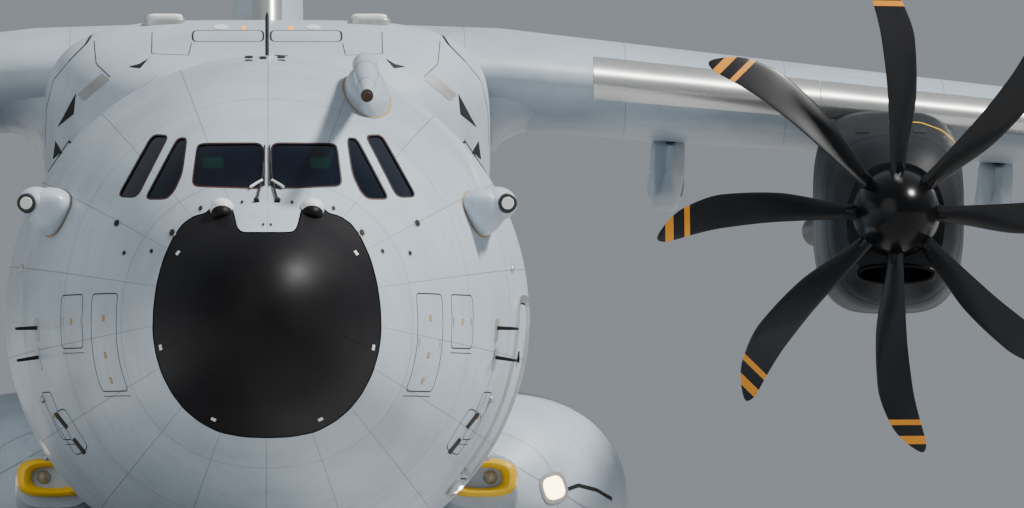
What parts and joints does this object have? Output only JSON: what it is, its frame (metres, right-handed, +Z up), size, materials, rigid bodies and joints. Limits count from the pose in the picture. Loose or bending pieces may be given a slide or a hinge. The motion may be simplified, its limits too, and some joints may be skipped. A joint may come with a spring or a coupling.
{
  "type": "military transport plane, 1:2 scale model",
  "caption": "High-wing turboprop transport aeroplane with a T-tail, rear loading ramp and wheels, parked, at half size.",
  "frame": {"origin": "on the ground, under the middle of the overall box", "axes": "+X to port, +Y towards the tail, +Z up; the nose points along -Y"},
  "size_m": [21.2, 22.5503, 7.3],
  "materials": {
    "blade_composite": "gloss",
    "composite_skin": "satin",
    "floor_metal": "matte",
    "gear_steel": "gloss",
    "interior_trim": "matte",
    "nacelle_skin": "satin",
    "radome_paint": "satin",
    "skin": "satin",
    "tyre_rubber": "matte",
    "window_glass": "gloss"
  },
  "bodies": {
    "airframe": {"aft_fuselage": "skin", "cargo_floor": "floor_metal", "centre_fuselage": "skin", "copilot_seat": "interior_trim", "fin": "composite_skin", "instrument_panel": "interior_trim", "main_legs_left": "gear_steel", "main_legs_right": "gear_steel", "nacelle_inner_left": "nacelle_skin", "nacelle_inner_right": "nacelle_skin", "nacelle_outer_left": "nacelle_skin", "nacelle_outer_right": "nacelle_skin", "nose_fuselage": "skin", "nose_leg": "gear_steel", "paratroop_door_left": "skin", "paratroop_door_right": "skin", "pilot_seat": "interior_trim", "radome": "radome_paint", "refuelling_probe": "composite_skin", "side_window_front_left": "window_glass", "side_window_front_right": "window_glass", "side_window_rear_left": "window_glass", "side_window_rear_right": "window_glass", "sponson_left": "composite_skin", "sponson_right": "composite_skin", "tailplane": "composite_skin", "windscreen_left": "window_glass", "windscreen_right": "window_glass", "wing_fairing": "composite_skin", "wing_left": "composite_skin", "wing_right": "composite_skin"},
    "crew_door": {"crew_door": "skin"},
    "cargo_ramp": {"cargo_ramp": "skin"},
    "cargo_door": {"cargo_door": "skin"},
    "flap_inner_left": {"flap_inner_left": "composite_skin"},
    "flap_outer_left": {"flap_outer_left": "composite_skin"},
    "flap_inner_right": {"flap_inner_right": "composite_skin"},
    "flap_outer_right": {"flap_outer_right": "composite_skin"},
    "aileron_left": {"aileron_left": "composite_skin"},
    "aileron_right": {"aileron_right": "composite_skin"},
    "rudder": {"rudder": "composite_skin"},
    "elevator_left": {"elevator_left": "composite_skin"},
    "elevator_right": {"elevator_right": "composite_skin"},
    "propeller_inner_left": {"propeller_inner_left": "blade_composite"},
    "propeller_inner_right": {"propeller_inner_right": "blade_composite"},
    "propeller_outer_left": {"propeller_outer_left": "blade_composite"},
    "propeller_outer_right": {"propeller_outer_right": "blade_composite"},
    "nose_fork": {"nose_fork": "gear_steel"},
    "nose_wheels": {"nose_wheels": "tyre_rubber"},
    "main_wheels_front_left": {"main_wheels_front_left": "tyre_rubber"},
    "main_wheels_front_right": {"main_wheels_front_right": "tyre_rubber"},
    "main_wheels_middle_left": {"main_wheels_middle_left": "tyre_rubber"},
    "main_wheels_middle_right": {"main_wheels_middle_right": "tyre_rubber"},
    "main_wheels_rear_left": {"main_wheels_rear_left": "tyre_rubber"},
    "main_wheels_rear_right": {"main_wheels_rear_right": "tyre_rubber"}
  },
  "joints": [
    {"name": "crew_door_hinge", "type": "hinge", "parent": "airframe", "child": "crew_door", "pos_m": [1.06755, -8.01, 0.825], "axis": [0, 1, 0], "range_deg": [0, 118]},
    {"name": "cargo_ramp_hinge", "type": "hinge", "parent": "airframe", "child": "cargo_ramp", "pos_m": [0, 1.925, 0.625], "axis": [-1, 0, 0], "range_deg": [0, 23]},
    {"name": "cargo_door_hinge", "type": "hinge", "parent": "airframe", "child": "cargo_door", "pos_m": [0, 7.3, 2.15], "axis": [-1, 0, 0], "range_deg": [0, 20]},
    {"name": "flap_inner_left_hinge", "type": "hinge", "parent": "airframe", "child": "flap_inner_left", "pos_m": [1.65, -1.53765, 2.51597], "axis": [-0.9836, -0.1747, 0.0456], "range_deg": [0, 35]},
    {"name": "flap_inner_right_hinge", "type": "hinge", "parent": "airframe", "child": "flap_inner_right", "pos_m": [-1.65, -1.53765, 2.51597], "axis": [-0.9836, 0.1747, -0.0456], "range_deg": [0, 35]},
    {"name": "flap_outer_left_hinge", "type": "hinge", "parent": "airframe", "child": "flap_outer_left", "pos_m": [1.65, -1.53765, 2.51597], "axis": [-0.9836, -0.1747, 0.0456], "range_deg": [0, 35]},
    {"name": "flap_outer_right_hinge", "type": "hinge", "parent": "airframe", "child": "flap_outer_right", "pos_m": [-1.65, -1.53765, 2.51597], "axis": [-0.9836, 0.1747, -0.0456], "range_deg": [0, 35]},
    {"name": "aileron_left_hinge", "type": "hinge", "parent": "airframe", "child": "aileron_left", "pos_m": [7.75, -0.15603, 2.4736], "axis": [0.9866, 0.1436, -0.0771], "range_deg": [-20, 20]},
    {"name": "aileron_right_hinge", "type": "hinge", "parent": "airframe", "child": "aileron_right", "pos_m": [-7.75, -0.15603, 2.4736], "axis": [0.9866, -0.1436, 0.0771], "range_deg": [-20, 20]},
    {"name": "rudder_hinge", "type": "hinge", "parent": "airframe", "child": "rudder", "pos_m": [0, 7.93495, 3.575], "axis": [0, 0.3437, 0.9391], "range_deg": [-25, 25]},
    {"name": "elevator_left_hinge", "type": "hinge", "parent": "airframe", "child": "elevator_left", "pos_m": [0.625, 9.61646, 7.115], "axis": [0.9422, 0.3351, 0], "range_deg": [-15, 25]},
    {"name": "elevator_right_hinge", "type": "hinge", "parent": "airframe", "child": "elevator_right", "pos_m": [-0.625, 9.61646, 7.115], "axis": [0.9422, -0.3351, 0], "range_deg": [-15, 25]},
    {"name": "propeller_inner_left_spin", "type": "hinge", "parent": "airframe", "child": "propeller_inner_left", "pos_m": [3.47, -4.7, 2.275], "axis": [0, 1, 0], "continuous": true},
    {"name": "propeller_inner_right_spin", "type": "hinge", "parent": "airframe", "child": "propeller_inner_right", "pos_m": [-3.47, -4.7, 2.275], "axis": [0, -1, 0], "continuous": true},
    {"name": "propeller_outer_left_spin", "type": "hinge", "parent": "airframe", "child": "propeller_outer_left", "pos_m": [6.35, -3.795, 2.04], "axis": [0, -1, 0], "continuous": true},
    {"name": "propeller_outer_right_spin", "type": "hinge", "parent": "airframe", "child": "propeller_outer_right", "pos_m": [-6.35, -3.795, 2.04], "axis": [0, 1, 0], "continuous": true},
    {"name": "nose_steering", "type": "hinge", "parent": "airframe", "child": "nose_fork", "pos_m": [0, -8.825, 0.24], "axis": [0, 0, 1], "range_deg": [-60, 60]},
    {"name": "nose_wheels_spin", "type": "hinge", "parent": "nose_fork", "child": "nose_wheels", "pos_m": [0, -8.825, 0.215], "axis": [1, 0, 0], "continuous": true},
    {"name": "main_wheels_front_left_spin", "type": "hinge", "parent": "airframe", "child": "main_wheels_front_left", "pos_m": [1.575, -2.025, 0.2725], "axis": [1, 0, 0], "continuous": true},
    {"name": "main_wheels_front_right_spin", "type": "hinge", "parent": "airframe", "child": "main_wheels_front_right", "pos_m": [-1.575, -2.025, 0.2725], "axis": [1, 0, 0], "continuous": true},
    {"name": "main_wheels_middle_left_spin", "type": "hinge", "parent": "airframe", "child": "main_wheels_middle_left", "pos_m": [1.575, -1.225, 0.2725], "axis": [1, 0, 0], "continuous": true},
    {"name": "main_wheels_middle_right_spin", "type": "hinge", "parent": "airframe", "child": "main_wheels_middle_right", "pos_m": [-1.575, -1.225, 0.2725], "axis": [1, 0, 0], "continuous": true},
    {"name": "main_wheels_rear_left_spin", "type": "hinge", "parent": "airframe", "child": "main_wheels_rear_left", "pos_m": [1.575, -0.425, 0.2725], "axis": [1, 0, 0], "continuous": true},
    {"name": "main_wheels_rear_right_spin", "type": "hinge", "parent": "airframe", "child": "main_wheels_rear_right", "pos_m": [-1.575, -0.425, 0.2725], "axis": [1, 0, 0], "continuous": true}
  ],
  "couplings": [
    {"joint": "flap_outer_left_hinge", "follows": "flap_inner_left_hinge", "ratio": 1},
    {"joint": "flap_inner_right_hinge", "follows": "flap_inner_left_hinge", "ratio": 1},
    {"joint": "flap_outer_right_hinge", "follows": "flap_inner_left_hinge", "ratio": 1},
    {"joint": "aileron_right_hinge", "follows": "aileron_left_hinge", "ratio": -1},
    {"joint": "elevator_right_hinge", "follows": "elevator_left_hinge", "ratio": 1}
  ]
}
